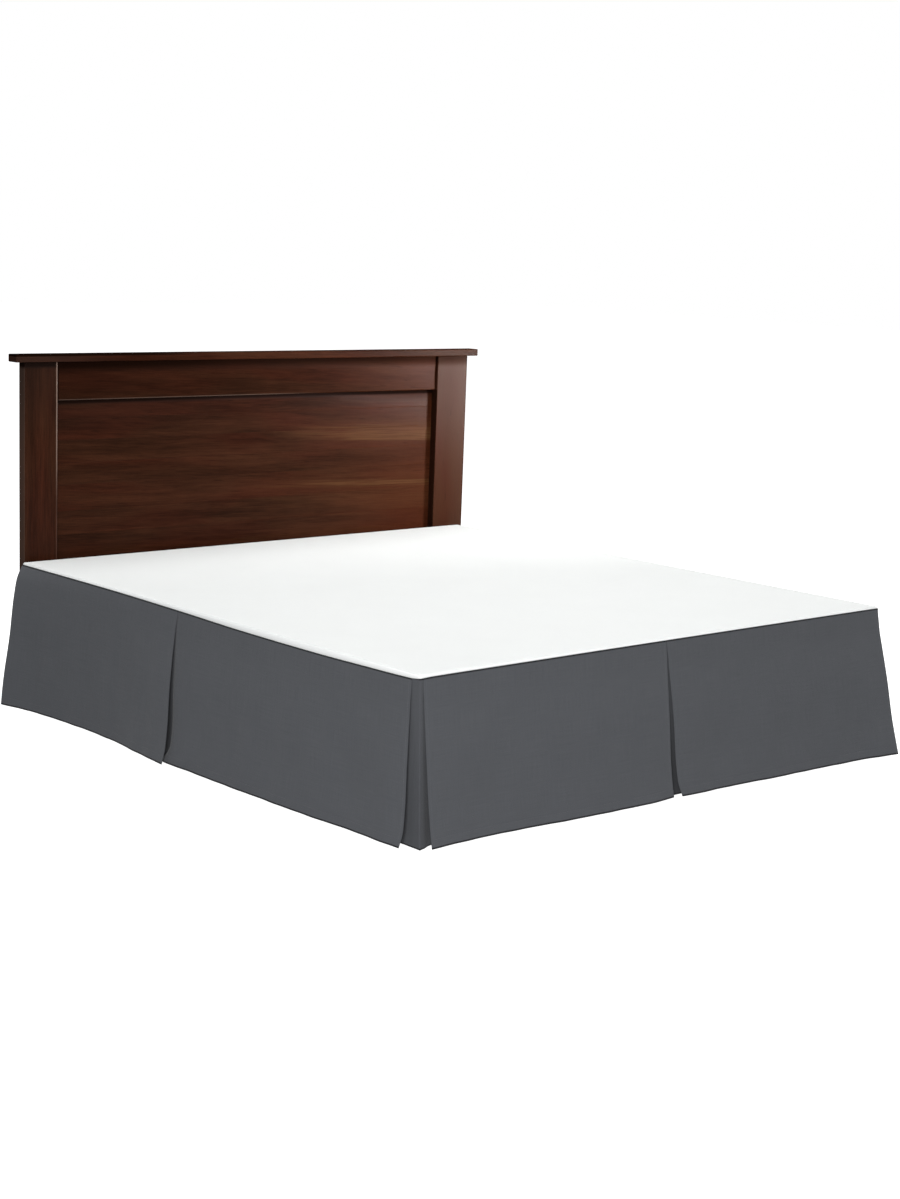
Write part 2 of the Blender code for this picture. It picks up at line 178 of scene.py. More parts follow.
softbox("light_overhead", (0.6, 0.1, 4.0), (0.2, 0.1, 0.4), 5.0, 175.0)
softbox("light_front_left", (-5.15, -5.0, 2.0), (-0.4, -0.4, 0.3), 2.0, 360.0)
softbox("light_front", (0.9, -6.2, 1.5), (0.3, -0.5, 0.5), 1.5, 25.0)
softbox("light_right", (2.7, -0.75, 1.08), (0.7, 1.1, 1.36), 0.5, 20.2, 60.0)
softbox("light_back", (-0.5, 5.6, 1.7), (0.0, 1.1, 0.6), 1.2, 45.0)

world = bpy.data.worlds.new("studio")
world.use_nodes = True
scene.world = world
sky = world.node_tree.nodes
ray = sky.new("ShaderNodeLightPath")
fill = sky.new("ShaderNodeBackground")
fill.inputs["Color"].default_value = (0.96, 0.98, 1.0, 1.0)
choice = sky.new("ShaderNodeMixShader")
world.node_tree.links.new(ray.outputs["Is Camera Ray"], choice.inputs[0])
dimmer = sky.new("ShaderNodeMapRange")
dimmer.inputs["To Min"].default_value = 0.26
dimmer.inputs["To Max"].default_value = 0.08
world.node_tree.links.new(ray.outputs["Is Glossy Ray"], dimmer.inputs["Value"])
world.node_tree.links.new(dimmer.outputs[0], fill.inputs["Strength"])
world.node_tree.links.new(fill.outputs[0], choice.inputs[1])
world.node_tree.links.new(sky["Background"].outputs[0], choice.inputs[2])
world.node_tree.links.new(choice.outputs[0], sky["World Output"].inputs[0])
sky["Background"].inputs["Color"].default_value = (1.0, 1.0, 1.0, 1.0)

FLOOR_REACH = 30.0
FLOOR_Z = -0.0005
floor_corners = [
    (x * FLOOR_REACH, y * FLOOR_REACH, FLOOR_Z) for x, y in ((-1, -1), (1, -1), (1, 1), (-1, 1))
]
floor_mesh = bpy.data.meshes.new("floor")
floor_mesh.from_pydata(floor_corners, [], [(0, 1, 2, 3)])
floor = bpy.data.objects.new("floor", floor_mesh)
scene.collection.objects.link(floor)
floor.visible_glossy = False
floor.visible_diffuse = False
pale = Finish("pale_floor", {
    "Base Color": (0.62, 0.62, 0.62, 1.0), "Roughness": 0.9, "Specular IOR Level": 0.1,
    "Emission Color": (1.0, 1.0, 1.0, 1.0), "Emission Strength": 1.0,
})
floor_mesh.materials.append(pale.material)


# ---------------------------------------------------------------- the steel frame
# Rails, cross slats and legs of rolled steel tube, with a plate at the head end of each rail, all
# powder coated in satin black. Hex bolts hold the slats on the rails and the plates on the
# headboard, and the legs stand on round plastic glides.

steel = Finish("powder_coated_steel", {"Metallic": 0.0, "Specular IOR Level": 0.5})
at = steel.place()
peel = steel.noise(at, (900, 900, 900), 3.0)
scuffs = steel.noise(at, (14, 14, 60), 5.0, 0.65).step(0.60, 0.72)
dust = steel.noise(at, (5, 5, 5), 3.0)
steel.feed(
    Base_Color=steel.mix(scuffs * 0.5, (0.018, 0.018, 0.020, 1), (0.075, 0.074, 0.072, 1)),
    Roughness=0.42 + peel * 0.12 + dust * 0.10,
    Normal=steel.bump(peel, 0.0003, 0.35),
)

glide_plastic = Finish("glide_plastic", {"Specular IOR Level": 0.45})
at = glide_plastic.place()
grain = glide_plastic.noise(at, (1600, 1600, 1600), 2.0)
scrapes = glide_plastic.noise(at, (60, 60, 200), 4.0).step(0.45, 0.75)
glide_plastic.feed(
    Base_Color=glide_plastic.mix(scrapes, (0.012, 0.012, 0.013, 1), (0.05, 0.048, 0.045, 1)),
    Roughness=0.5 + grain * 0.15,
    Normal=glide_plastic.bump(grain, 0.0002, 0.5),
)

COATS = {"side_rail": steel, "slat": steel, "leg": steel, "bracket": steel, "glide": glide_plastic}
for name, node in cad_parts.items():
    for kind, finish in COATS.items():
        if name.startswith(kind):
            node.data.materials.clear()
            node.data.materials.append(finish.material)


def new_object(name, mesh):
    """Puts a mesh in the scene and on the object's one body."""
    made = bpy.data.objects.new(name, mesh)
    scene.collection.objects.link(made)
    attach(made, "root")
    return made


class Tree:
    """A Geometry Nodes tree with named inputs, run once over a mesh of points or paths."""

    def __init__(self, name, **inputs):
        self.group = bpy.data.node_groups.new(name, "GeometryNodeTree")
        interface = self.group.interface
        self.sockets = {
            key: interface.new_socket(key, in_out="INPUT", socket_type=f"NodeSocket{kind}")
            for key, kind in {"Geometry": "Geometry", **inputs}.items()
        }
        interface.new_socket("Geometry", in_out="OUTPUT", socket_type="NodeSocketGeometry")
        self.start = self.group.nodes.new("NodeGroupInput")

    def input(self, key):
        return self.start.outputs[key]

    def node(self, kind, settings, values):
        """Adds a node, as a finish does, and gives its first output."""
        made = self.group.nodes.new(kind)
        for key, value in settings.items():
            setattr(made, key, value)
        for key, value in values.items():
            if isinstance(value, bpy.types.NodeSocket):
                self.group.links.new(value, made.inputs[key])
            else:
                made.inputs[key].default_value = value
        return made.outputs[0]

    def end(self, geometry):
        """Closes the tree: instances made real, with the material that the input names."""
        real = self.node("GeometryNodeRealizeInstances", {}, {0: geometry})
        values = {"Geometry": real, "Material": self.input("Material")}
        done = self.node("GeometryNodeSetMaterial", {}, values)
        self.group.links.new(done, self.group.nodes.new("NodeGroupOutput").inputs[0])

    def run(self, name, points, edges, finish, **values):
        """Runs the tree over points or paths and leaves a plain mesh."""
        carrier = bpy.data.objects.new(name + "_carrier", bpy.data.meshes.new(name + "_carrier"))
        carrier.data.from_pydata(points, edges, [])
        scene.collection.objects.link(carrier)
        modifier = carrier.modifiers.new("make", "NODES")
        modifier.node_group = self.group
        modifier[self.sockets["Material"].identifier] = finish.material
        for key, value in values.items():
            modifier[self.sockets[key].identifier] = value
        evaluated = carrier.evaluated_get(bpy.context.evaluated_depsgraph_get())
        mesh = bpy.data.meshes.new_from_object(evaluated)
        mesh.name = name
        bpy.data.objects.remove(carrier)
        return new_object(name, mesh)


HEAD_DEPTH = 0.0052
HEAD_RADIUS = 0.0065
WASHER_DEPTH = 0.0016
WASHER_RADIUS = 0.0085

bolt_tree = Tree("hex_bolts", Turn="Rotation", Radius="Float", Material="Material")
joined = bolt_tree.group.nodes.new("GeometryNodeJoinGeometry")
for sides, radius, depth, height in (
    (6, bolt_tree.input("Radius"), HEAD_DEPTH, WASHER_DEPTH + HEAD_DEPTH / 2),
    (16, WASHER_RADIUS, WASHER_DEPTH, WASHER_DEPTH / 2),
):
    values = {"Vertices": sides, "Radius": radius, "Depth": depth}
    disc = bolt_tree.node("GeometryNodeMeshCylinder", {}, values)
    values = {"Geometry": disc, "Translation": (0.0, 0.0, height)}
    disc = bolt_tree.node("GeometryNodeTransform", {}, values)
    bolt_tree.group.links.new(disc, joined.inputs[0])
bolt_tree.end(bolt_tree.node("GeometryNodeInstanceOnPoints", {}, {
    "Points": bolt_tree.input("Geometry"), "Instance": joined.outputs[0], "Rotation": bolt_tree.input("Turn"),
}))

zinc = Finish("zinc_bolts", {"Metallic": 1.0})
at = zinc.place()
spangle = zinc.noise(at, (260, 260, 260), 3.0)
zinc.feed(
    Base_Color=zinc.mix(spangle, (0.42, 0.43, 0.42, 1), (0.62, 0.62, 0.60, 1)),
    Roughness=0.30 + spangle * 0.22,
    Normal=zinc.bump(spangle, 0.0001, 0.4),
)

BOLT_RISE = 0.0001          # clear of the face it sits on
BESIDE_SLAT = 0.034
BELOW_MIDDLE = 0.013
PLATE_SIDE = 0.013
PLATE_FOOT = 0.022
PLATE_TOP = 0.020
slats = [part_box(f"slat_{k}") for k in range(1, 5)]
slat_middles = [(slat_low.y + slat_high.y) / 2 for slat_low, slat_high in slats]
for side, sign in (("left", -1), ("right", 1)):
    low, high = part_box(f"side_rail_{side}")
    inner_x = (low.x if sign > 0 else high.x) - sign * BOLT_RISE
    bolt_z = (low.z + high.z) / 2 - BELOW_MIDDLE
    points = [(inner_x, y + shift, bolt_z) for y in slat_middles for shift in (-BESIDE_SLAT, BESIDE_SLAT)]
    turn = (0.0, -sign * math.pi / 2, 0.0)
    rail_bolts = bolt_tree.run(f"rail_bolts_{side}", points, [], zinc, Turn=turn, Radius=HEAD_RADIUS)
    low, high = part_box(f"bracket_{side}")
    columns = [low.x + PLATE_SIDE, high.x - PLATE_SIDE]
    rows = [low.z + PLATE_FOOT, high.z - PLATE_TOP]
    points = [(x, low.y - BOLT_RISE, z) for x in columns for z in rows]
    turn = (math.pi / 2, 0.0, 0.0)
    plate_bolts = bolt_tree.run(f"plate_bolts_{side}", points, [], zinc, Turn=turn, Radius=HEAD_RADIUS)


# ---------------------------------------------------------------- the box spring
# A timber and wire base in a woven striped cover, with a padded tape sewn round its top and
# bottom edges and a black dust cloth stapled underneath.

STRIPE_PITCH = 0.030
WARP_PITCH = 0.0012
WEFT_PITCH = 0.0010
ticking = Finish("woven_ticking", {"Roughness": 0.92, "Sheen Weight": 0.15})
at = ticking.place()
x, y, z = ticking.separate(at)
along = x + y
stripe = (along * (math.tau / STRIPE_PITCH)).math("SINE").step(0.62, 0.80)
pin = (along * (math.tau / STRIPE_PITCH) + 1.9).math("SINE").step(0.93, 0.99)
threads = (along * (math.tau / WARP_PITCH)).math("SINE") * (z * (math.tau / WEFT_PITCH)).math("SINE")
slub = ticking.noise(at, (260, 260, 30), 3.0)
pattern = (stripe + pin).math("MINIMUM", 1.0) * 0.8
striped = ticking.mix(pattern, (0.66, 0.64, 0.58, 1), (0.20, 0.25, 0.33, 1))
ticking.feed(
    Base_Color=ticking.mix(slub * 0.35, striped, (0.50, 0.48, 0.43, 1)),
    Normal=ticking.bump(threads * 0.5 + slub, 0.0004, 0.5),
)


def fibrous(name, sockets, scale, dark, light, depth, strength, detail=2.0, roughness=0.5):
    """A cloth or a thread whose fibres vary between two tones."""
    finish = Finish(name, sockets)
    fibre = finish.noise(finish.place(), scale, detail, roughness)
    finish.feed(
        Base_Color=finish.mix(fibre, dark, light),
        Normal=finish.bump(fibre, depth, strength),
    )
    return finish


tape_cloth = fibrous(
    "edge_tape", {"Roughness": 0.85, "Sheen Weight": 0.2}, (900, 900, 120),
    (0.50, 0.49, 0.45, 1), (0.70, 0.68, 0.63, 1), 0.0006, 0.6,
)
dust_cloth = fibrous(
    "dust_cloth", {"Roughness": 0.95}, (700, 700, 700),
    (0.012, 0.012, 0.013, 1), (0.045, 0.045, 0.047, 1), 0.0005, 0.5, 4.0, 0.7,
)

TAPE_RADIUS = 0.0075
TAPE_BELOW_TOP = 0.0003
TAPE_ABOVE_FOOT = 0.0005
BOX_ROUND = 0.030
DUST_INSET = 0.022


def rounded_path(low, high, radius, inset):
    """Points round a rectangle with round corners, anticlockwise, seen from above."""
    steps = 8
    points = []
    corners = ((high.x, low.y, -90), (high.x, high.y, 0), (low.x, high.y, 90), (low.x, low.y, 180))
    for corner_x, corner_y, first in corners:
        centre_x = corner_x + math.copysign(radius, -corner_x + (low.x + high.x) / 2)
        centre_y = corner_y + math.copysign(radius, -corner_y + (low.y + high.y) / 2)
        for k in range(steps + 1):
            angle = math.radians(first + 90 * k / steps)
            reach = radius - inset
            points.append((centre_x + reach * math.cos(angle), centre_y + reach * math.sin(angle)))
    return points


def smooth_mesh(name, points, faces, finish):
    """A smoothly shaded mesh in one finish."""
    mesh = bpy.data.meshes.new(name)
    mesh.from_pydata(points, [], faces)
    mesh.shade_smooth()
    mesh.materials.append(finish.material)
    return mesh


def stacked_rings(name, rings, finish, crease=40):
    """A closed body from rings of points of the same count, capped at both ends."""
    count = len(rings[0])
    points = [p for ring in rings for p in ring]
    faces = [tuple(reversed(range(count))), tuple(range(len(points) - count, len(points)))]
    for r in range(len(rings) - 1):
        for c in range(count):
            d = (c + 1) % count
            faces.append((r * count + c, r * count + d, (r + 1) * count + d, (r + 1) * count + c))
    mesh = smooth_mesh(name, points, faces, finish)
    mesh.set_sharp_from_angle(angle=math.radians(crease))
    return new_object(name, mesh)


box_low, box_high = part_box("box_spring")
BULGE = [
    # height over the foot of the box, inset from its side
    (0.000, 0.010), (0.002, 0.004), (0.010, 0.001), (0.030, 0.0015), (0.060, 0.0005), (0.115, 0.000),
    (0.170, 0.0005), (0.200, 0.0015), (0.220, 0.001), (0.228, 0.004), (0.230, 0.010),
]
rings = [
    [(px, py, box_low.z + height) for px, py in rounded_path(box_low, box_high, BOX_ROUND, inset)]
    for height, inset in BULGE
]
box_cover = stacked_rings("box_spring_cover", rings, ticking)
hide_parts("box_spring")


def bead(name, path, height, radius, finish):
    """A round bead that follows a closed path."""
    count = len(path)
    sides = 10
    points = []
    faces = []
    for k, (px, py) in enumerate(path):
        before = Vector(path[k - 1])
        after = Vector(path[(k + 1) % count])
        out = Vector(((after - before).y, -(after - before).x)).normalized()
        for s in range(sides):
            angle = math.tau * s / sides
            reach = radius * math.cos(angle)
            points.append((px + out.x * reach, py + out.y * reach, height + radius * math.sin(angle)))
    for k in range(count):
        n = (k + 1) % count
        for s in range(sides):
            t = (s + 1) % sides
            faces.append((k * sides + s, n * sides + s, n * sides + t, k * sides + t))
    return new_object(name, smooth_mesh(name, points, faces, finish))


tape_path = rounded_path(box_low, box_high, BOX_ROUND, TAPE_RADIUS)
for name, height in (
    ("box_tape_top", box_high.z - TAPE_RADIUS - TAPE_BELOW_TOP),
    ("box_tape_low", box_low.z + TAPE_RADIUS + TAPE_ABOVE_FOOT),
):
    tape = bead(name, tape_path, height, TAPE_RADIUS, tape_cloth)

dust_rings = [
    [(px, py, box_low.z - drop) for px, py in rounded_path(box_low, box_high, BOX_ROUND, DUST_INSET)]
    for drop in (0.00026, 0.00004)
]
dust_cover = stacked_rings("dust_cover", dust_rings, dust_cloth)


# ---------------------------------------------------------------- the headboard
# Solid mahogany boards with softly rounded edges under a satin lacquer: two stiles that stand
# on the floor, two rails between them, a glued-up panel let in behind, and a cap along the top.

GRAIN_SLANT = 0.035     # the grain runs a little out of line with the boards
GRAIN_DRIFT = 0.035     # how far it wanders on its way
BOARD_SHIFT = 3.7       # how far apart in the tree two boards of the panel come from
WOOD_DEEP = (0.0120, 0.0044, 0.0021, 1)
WOOD_BROWN = (0.0440, 0.0150, 0.0070, 1)
WOOD_RED = (1.0, 0.70, 0.72, 1)
WOOD_TAN = (0.0900, 0.0400, 0.0160, 1)
WOOD_PORE = (0.0080, 0.0026, 0.0012, 1)
# the colour that painted shade darkens the wood towards, in its corners, beside the stiles and under the cap
# and rail
WOOD_PAINTED_SHADE = (0.0060, 0.0020, 0.0009, 1)
# the colour of painted highlights on eased edges, and of painted sheen on the right stile and the cap's left
# end
WOOD_PAINTED_HIGHLIGHT = (0.1800, 0.1250, 0.1000, 1)
# the colour of painted sheen, which warms and lightens the rails and the panel towards the right
WOOD_PAINTED_SHEEN = (0.0850, 0.0200, 0.0070, 1)


class Mahogany(Finish):
    """Mahogany with its grain along one axis; joints lists the heights where a panel is glued up."""

    def __init__(self, name, way, shift, tone, shine, painted_sheen, joints=()):
        super().__init__("mahogany_" + name, {"Specular IOR Level": shine})
        x, y, z = self.separate(self.place())
        self.x, self.y, self.z = x, y, z
        run, across = (z, x) if way == "z" else (x, z + x * GRAIN_SLANT)
        offset = shift
        for joint in joints:
            offset = z.step(joint - 0.0006, joint + 0.0006) * BOARD_SHIFT + offset
        straight = self.node("ShaderNodeCombineXYZ", {}, {0: run + offset, 1: across, 2: y})
        drift = self.noise(straight, (1.7, 5.0, 2.0))
        wavy = across + drift * GRAIN_DRIFT + offset * 0.31
        self.grain = self.node("ShaderNodeCombineXYZ", {}, {0: run + offset, 1: wavy, 2: y})
        figure = self.noise(self.grain, (1.6, 18.0, 3.0), 3.0, 0.55)
        streaks = self.noise(self.grain, (5.5, 95.0, 12.0), 4.0, 0.6)
        fine = self.noise(self.grain, (14.0, 380.0, 40.0), 3.0, 0.6)
        dashes = self.noise(self.grain, (12.0, 230.0, 60.0), 1.0)
        ruddy = self.noise(self.grain, (2.0, 9.0, 3.0), 2.0)
        self.pores = self.noise(self.grain, (24.0, 1500.0, 300.0), 2.0, 0.6)
        # x * 0.035 lightens the wood slowly towards the right: painted light
        self.light = figure * 0.46 + streaks * 0.24 + fine * 0.30 + x * 0.035 + tone
        pitted = self.pores.step(0.56, 0.74) * 0.40 + dashes.step(0.68, 0.76) * 0.45
        colour = self.mix(self.light.step(0.28, 0.72), WOOD_DEEP, WOOD_BROWN)
        colour = self.mix(ruddy.step(0.38, 0.66) * 0.7, colour, WOOD_RED, "MULTIPLY")
        # painted sheen: warmer and lighter towards the right
        colour = self.mix(x.step(0.15, 0.95) * painted_sheen, colour, WOOD_PAINTED_SHEEN)
        self.colour = self.mix(pitted, colour, WOOD_PORE)

    def upper_left(self, low, high, right, left):
        """Painted shade that deepens slowly towards the headboard's upper left corner."""
        return self.z.step(low, high) * self.x.step(right, left) * 0.28

    def lacquer(self, rough, painted_shade, painted_highlight=0.0):
        """Painted shade darkens the corners of the wood and dulls them, painted highlight lightens its edges.
        """
        colour = self.mix(painted_highlight, self.colour, WOOD_PAINTED_HIGHLIGHT)
        self.feed(
            Base_Color=self.mix(painted_shade, colour, WOOD_PAINTED_SHADE),
            Roughness=rough + self.pores * 0.06 + self.light * 0.06 + painted_shade * 0.5,
            Normal=self.bump(self.pores * 0.3 + self.light, 0.00008, 0.5),
        )


def eased_board(name, wood, ease):
    """A planed board in place of its CAD block, with its edges eased to a small radius."""
    low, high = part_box(name)
    mesh = bpy.data.meshes.new(name + "_board")
    bm = bmesh.new()
    bmesh.ops.create_cube(bm, size=1.0)
    bmesh.ops.scale(bm, vec=high - low, verts=bm.verts)
    bmesh.ops.translate(bm, vec=(low + high) / 2, verts=bm.verts)
    bm.to_mesh(mesh)
    bm.free()
    mesh.shade_smooth()
    mesh.materials.append(wood.material)
    made = new_object(name + "_board", mesh)
    bevel = made.modifiers.new("eased_edges", "BEVEL")
    bevel.width = ease
    bevel.segments = 4
    bevel.harden_normals = True
    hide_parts(name)


left_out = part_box("stile_left")[0].x
left_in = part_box("stile_left")[1].x
right_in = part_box("stile_right")[0].x
right_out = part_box("stile_right")[1].x
rail_low_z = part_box("rail_top")[0].z
cap_low, cap_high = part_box("cap")
CAP_SHADE = (cap_low.z - 0.045, cap_low.z - 0.008)

for name, way, shift, tone, ease, shine, rough, painted_sheen in (
    # piece, way of its grain, place in the tree, tone, edge radius, shine, roughness, painted sheen towards
    # the right
    ("stile_left", "z", 1.3, 0.00, 0.0045, 0.0400, 0.19, 0.00),
    # the right stile's high tone is painted sheen, which keeps it lighter than the other boards
    ("stile_right", "z", 7.9, 0.17, 0.0035, 0.0250, 0.27, 0.00),
    ("rail_top", "x", 3.1, -0.03, 0.0030, 0.0070, 0.19, 0.24),
    ("rail_low", "x", 5.6, 0.00, 0.0030, 0.0300, 0.19, 0.30),
    ("cap", "x", 9.4, 0.01, 0.0030, 0.0066, 0.24, 0.00),
):
    wood = Mahogany(name, way, shift, tone, shine, painted_sheen)
    x, z = wood.x, wood.z
    painted_shade = 0.0
    painted_highlight = 0.0
    if name == "stile_left":
        # a painted highlight along a line beside the panel, the more the higher, and on its outer edge;
        # painted shade under the cap and towards the upper left
        line = x.step(left_in - 0.0080, left_in - 0.0058) * x.step(left_in - 0.0010, left_in - 0.0032)
        line = line * (z.step(0.62, 0.88) * 0.72 + 0.10)
        top_end = z.step(cap_low.z - 0.026, cap_low.z - 0.010) * 0.8
        painted_shade = (top_end + wood.upper_left(0.80, 1.10, 0.20, -0.85)) * (1.0 - line)
        painted_highlight = line + x.step(left_out + 0.003, left_out + 0.001) * 0.22
    elif name == "stile_right":
        # painted shade along both edges, under the cap and towards its top, and painted sheen that lightens
        # it a little towards its outer edge and its top
        beside_panel = z.step(rail_low_z + 0.004, rail_low_z - 0.004) * 0.40 + 0.30
        inner_edge = x.step(right_in + 0.003, right_in + 0.001) * beside_panel
        shaded = z.step(*CAP_SHADE) * 0.50 + z.step(0.75, 1.04) * 0.10
        painted_shade = shaded + inner_edge + x.step(right_out - 0.005, right_out - 0.001)
        painted_highlight = x.step(right_in + 0.05, right_out) * (z.step(0.60, 1.05) * 0.04 + 0.06)
    elif name == "rail_top":
        # painted shade under the cap, at its ends and towards the upper left, and a painted highlight along
        # its lower edge on the left
        ends = x.step(left_in + 0.012, left_in + 0.003) + x.step(right_in - 0.010, right_in - 0.002) * 0.5
        shaded = z.step(*CAP_SHADE) * (0.85 - x.step(0.60, 0.86) * 0.20)
        painted_shade = shaded + ends * 0.8 + wood.upper_left(0.80, 1.10, 0.20, -0.85)
        painted_highlight = z.step(rail_low_z + 0.0050, rail_low_z + 0.0015) * x.step(0.34, 0.02) * 0.34
    elif name == "cap":
        # painted shade along its top edge, and a faint painted highlight growing towards its left end, both
        # on the left
        painted_shade = z.step(cap_high.z - 0.0090, cap_high.z - 0.0055) * x.step(-0.15, -0.45)
        painted_highlight = x.step(-0.50, -0.90) * 0.065
    wood.lacquer(rough, painted_shade, painted_highlight)
    eased_board(name, wood, ease)

# The panel's boards are matched for colour, but for a flame of lighter wood on the right and two
# fainter ones under it. Its front is darkened with painted shade under the rail and beside the stiles.

PANEL_JOINTS = (0.365, 0.452, 0.531, 0.612, 0.701, 0.775, 0.852, 0.925)
panel_low, panel_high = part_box("headboard_panel")
wood = Mahogany("panel", "x", 2.2, 0.0, 0.023, 0.28, PANEL_JOINTS)
x, y, z = wood.x, wood.y, wood.z
fine = wood.noise(wood.grain, (5.0, 240.0, 20.0), 3.0, 0.6)
ragged = x + (wood.noise(wood.grain, (2.0, 60.0, 4.0)) - 0.5) * 0.5
level = z + x * GRAIN_SLANT
flame = level.step(0.8195, 0.8245) * level.step(0.915, 0.840) * ragged.step(0.10, 0.62)
glow = level.step(0.642, 0.656) * level.step(0.678, 0.662) * ragged.step(0.02, 0.45) * 0.45
glow = glow + level.step(0.50, 0.62) * level.step(0.74, 0.68) * ragged.step(-0.10, 0.40) * 0.13
wood.colour = wood.mix((flame * 0.70 + glow) * fine.step(0.25, 0.65), wood.colour, WOOD_TAN)
# painted shade under the rail, wider on the right, beside both stiles and towards the upper left, on the
# front face only
painted_shade = z.step(rail_low_z - 0.019, rail_low_z - 0.007) * 0.9
painted_shade = painted_shade + z.step(rail_low_z - 0.055, rail_low_z - 0.015) * x.step(0.30, 0.75) * 0.40
painted_shade = painted_shade + x.step(left_in + 0.012, left_in + 0.003) * 0.8
painted_shade = painted_shade + x.step(right_in - 0.004, right_in - 0.001) * 0.6
painted_shade = painted_shade + wood.upper_left(0.78, 0.98, 0.10, -0.80)
wood.lacquer(0.19, painted_shade * y.step(panel_low.y + 0.004, panel_low.y + 0.002))

EASE_DEEP = 0.0012      # the panel's eased edges, in its thickness and in its height
EASE_HIGH = 0.0015
JOINT_HALF = 0.0008
JOINT_DEPTH = 0.0004
front, back = panel_low.y, panel_high.y
foot, top = panel_low.z, panel_high.z
section = [(back - EASE_DEEP, foot), (front + EASE_DEEP, foot), (front, foot + EASE_HIGH)]
for joint in PANEL_JOINTS:
    section += [(front, joint - JOINT_HALF), (front + JOINT_DEPTH, joint), (front, joint + JOINT_HALF)]
section += [(front, top - EASE_HIGH), (front + EASE_DEEP, top), (back - EASE_DEEP, top)]
section += [(back, top - EASE_HIGH), (back, foot + EASE_HIGH)]
rings = [[(px, py, pz) for py, pz in section] for px in (panel_high.x, panel_low.x)]
panel_board = stacked_rings("panel_board", rings, wood, 12)
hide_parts("headboard_panel")


# ---------------------------------------------------------------- the cloths
# The skirt is a white platform sheet with charcoal panels sewn along its two sides and foot. A
# plain weave is used for both, with folded hems and a fine lockstitch. Along its folded edges the
# charcoal cloth is painted darker, painted shade, and the white one painted whiter, painted light.

BED_WIDTH = 1.930
BED_LENGTH = 2.032
FOOT_Y = -0.991
HEAD_Y = FOOT_Y + BED_LENGTH
DECK_TOP = 0.462
GAP = 0.0003
CLOTH = 0.002
THIN = 0.0011          # one layer
HEMMED = 0.0019        # where the cloth is folded back on itself
HEM = 0.025
SIDE_HEM = 0.012
FOLD_BULGE = 0.45      # how far a folded edge stands out, as a share of its thickness


def woven(name, pitch, tones, edge_width, depth, slub_share, floor_shade=0.0):
    """Plain weave along the cloth's own threads, in metres; its edges take the painted edge colour, and
    floor_shade paints shade on it towards the floor.
    """
    light_colour, dark_colour, painted_edge_colour = tones
    cloth = Finish(name, {
        "Roughness": 0.93, "Sheen Weight": 0.12, "Sheen Roughness": 0.5, "Specular IOR Level": 0.2,
    })
    uv = cloth.node("ShaderNodeUVMap", {"uv_map": "threads"}, {})
    u, v, _ = cloth.separate(uv)
    warp = (u * (math.pi / pitch)).math("SINE")
    weft = (v * (math.pi / pitch)).math("SINE")
    over = (warp * weft).step(-0.25, 0.25)
    warp_high = warp.math("ABSOLUTE")
    weft_high = weft.math("ABSOLUTE")
    height = over * warp_high * (0.6 + weft_high * 0.4) + (1.0 - over) * weft_high * (0.6 + warp_high * 0.4)
    thick_warp = cloth.noise(uv, (0.55 / pitch, 12.0, 1.0), 2.0)
    thick_weft = cloth.noise(uv, (9.0, 0.55 / pitch, 1.0), 2.0)
    slub = over * thick_warp + (1.0 - over) * thick_weft
    cloudy = cloth.noise(uv, (6.0, 6.0, 1.0), 3.0)
    tone = 0.5 + (slub - 0.5) * slub_share + (cloudy - 0.5) * 0.25 + (height - 0.6) * 0.35
    edge = cloth.node("ShaderNodeAttribute", {"attribute_name": "edge"}, {}, "Fac")
    # painted edge colour: painted shade along the charcoal cloth's seam, hems and side edges, painted light
    # on the white sheet's turned-down edge
    near = edge.step(edge_width * 1.7, edge_width)
    tone = tone.math("MINIMUM", 1.0).math("MAXIMUM", 0.0)
    colour = cloth.mix(tone, dark_colour, light_colour)
    # painted shade: the underlays darker all over, and more towards the floor
    if floor_shade:
        height_above = cloth.separate(cloth.place())[2]
        colour = cloth.mix(height_above.step(0.42, 0.02) * floor_shade + 0.06, colour, painted_edge_colour)
    cloth.feed(
        Base_Color=cloth.mix(near, colour, painted_edge_colour),
        Normal=cloth.bump(height + slub * 0.8, depth, 0.55),
    )
    return cloth


# tones of a high thread, of a low one, and the painted edge colour: painted shade on charcoal, painted light
# on white
CHARCOAL = ((0.106, 0.110, 0.121, 1), (0.060, 0.063, 0.070, 1), (0.0145, 0.0155, 0.0175, 1))
WHITE = ((0.82, 0.835, 0.82, 1), (0.71, 0.72, 0.71, 1), (0.97, 0.98, 0.97, 1))
CHARCOAL_WEAVE = (0.0011, CHARCOAL, 0.0030, 0.00035, 0.9)
grey_cloth = woven("charcoal_plain_weave", *CHARCOAL_WEAVE)
# the underlays' copies of the charcoal weave, painted darker: painted shade
shaded_underlay_cloth = woven("charcoal_underlay_weave_painted_shade", *CHARCOAL_WEAVE, 0.46)
shaded_corner_cloth = woven("charcoal_corner_weave_painted_shade", *CHARCOAL_WEAVE, 0.14)
white_cloth = woven("white_platform_cloth", 0.0009, WHITE, 0.018, 0.0002, 0.5)


def curve(rows, place, column=1):
    """Reads a smooth curve through rows of (place, value, ...) at one place."""
    places = [row[0] for row in rows]
    values = [row[column] for row in rows]
    last = len(rows) - 1
    i = min(max(bisect_right(places, place) - 1, 0), last - 1)

    def slope(k):
        low = max(k - 1, 0)
        high = min(k + 1, last)
        return (values[high] - values[low]) / (places[high] - places[low])

    span = places[i + 1] - places[i]
    t = min(max((place - places[i]) / span, 0.0), 1.0)
    return (
        values[i] * (1 + 2 * t) * (1 - t) ** 2
        + values[i + 1] * (3 - 2 * t) * t**2
        + slope(i) * span * t * (1 - t) ** 2
        - slope(i + 1) * span * (1 - t) * t**2
    )


